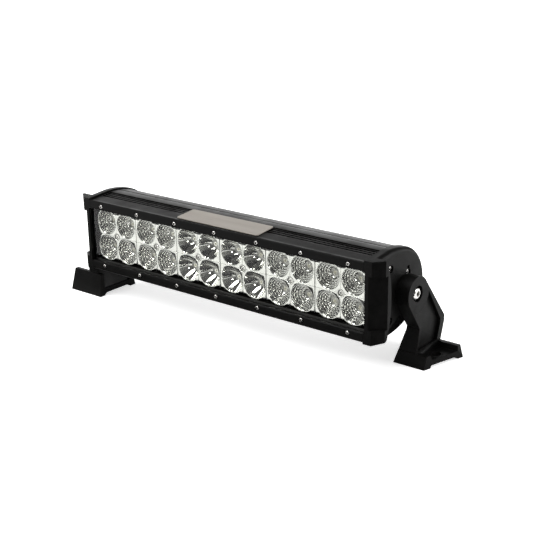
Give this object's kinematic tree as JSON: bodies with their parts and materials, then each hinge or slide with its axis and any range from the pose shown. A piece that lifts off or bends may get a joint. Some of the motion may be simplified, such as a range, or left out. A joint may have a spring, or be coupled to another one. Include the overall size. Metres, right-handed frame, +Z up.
{
  "type": "led light bar",
  "caption": "Twin-row LED light bar: finned housing with a clear window over cup reflectors, end caps, and a swivelling foot bracket at each end.",
  "frame": {"origin": "on the floor under the middle of the overall box", "axes": "+X along the bar, -Y the way the lamp shines, +Z up"},
  "size_m": [0.385, 0.0904, 0.1015],
  "materials": {
    "coated_extrusion": "aluminium extrusion with a black powder coat, faint sheen",
    "coated_casting": "aluminium die casting with a black powder coat",
    "stainless": "bright stainless",
    "seal_rubber": "matt silicone rubber",
    "aluminised_reflector": "vacuum metallised moulding",
    "window": "clear polycarbonate",
    "board_white": "white solder mask",
    "led_phosphor": "phosphor under a clear silicone dome",
    "pad_grey": "soft thermal pad",
    "board_green": "green solder mask",
    "component_black": "moulded component bodies",
    "brass_spacer": "turned",
    "nylon_black": "black nylon",
    "plate_grey": "satin, blank"
  },
  "bodies": {
    "bar": {"bezel_screws": "stainless", "bezel_strip_bottom": "coated_extrusion", "bezel_strip_top": "coated_extrusion", "breather_vent": "nylon_black", "cable_gland_body": "nylon_black", "cable_gland_nut": "nylon_black", "cable_gland_seal": "seal_rubber", "driver_board": "board_green", "driver_components": "component_black", "driver_screws": "stainless", "driver_spacers": "brass_spacer", "end_cap_gasket_left": "seal_rubber", "end_cap_gasket_right": "seal_rubber", "end_cap_left": "coated_casting", "end_cap_right": "coated_casting", "end_cap_screws_left": "stainless", "end_cap_screws_right": "stainless", "flood_reflector_1": "aluminised_reflector", "flood_reflector_2": "aluminised_reflector", "flood_reflector_5": "aluminised_reflector", "flood_reflector_6": "aluminised_reflector", "housing": "coated_extrusion", "led_board": "board_white", "led_packages": "led_phosphor", "lens": "window", "lens_gasket": "seal_rubber", "name_plate": "plate_grey", "pivot_bolt_left": "stainless", "pivot_bolt_right": "stainless", "pivot_flat_washer_left": "stainless", "pivot_flat_washer_right": "stainless", "pivot_insert_left": "stainless", "pivot_insert_right": "stainless", "pivot_lock_washer_left": "stainless", "pivot_lock_washer_right": "stainless", "reflector_screws": "stainless", "spot_reflector_3": "aluminised_reflector", "spot_reflector_4": "aluminised_reflector", "thermal_pad": "pad_grey"},
    "left_bracket": {"bracket_left": "coated_casting"},
    "right_bracket": {"bracket_right": "coated_casting"}
  },
  "joints": [
    {"name": "left_pivot", "type": "hinge", "parent": "bar", "child": "left_bracket", "pos_m": [-0.1658, 0.00175, 0.0628], "axis": [1, 0, 0], "range_deg": [-2, 160]},
    {"name": "right_pivot", "type": "hinge", "parent": "bar", "child": "right_bracket", "pos_m": [0.1658, 0.00175, 0.0628], "axis": [1, 0, 0], "range_deg": [-40, 160]}
  ]
}
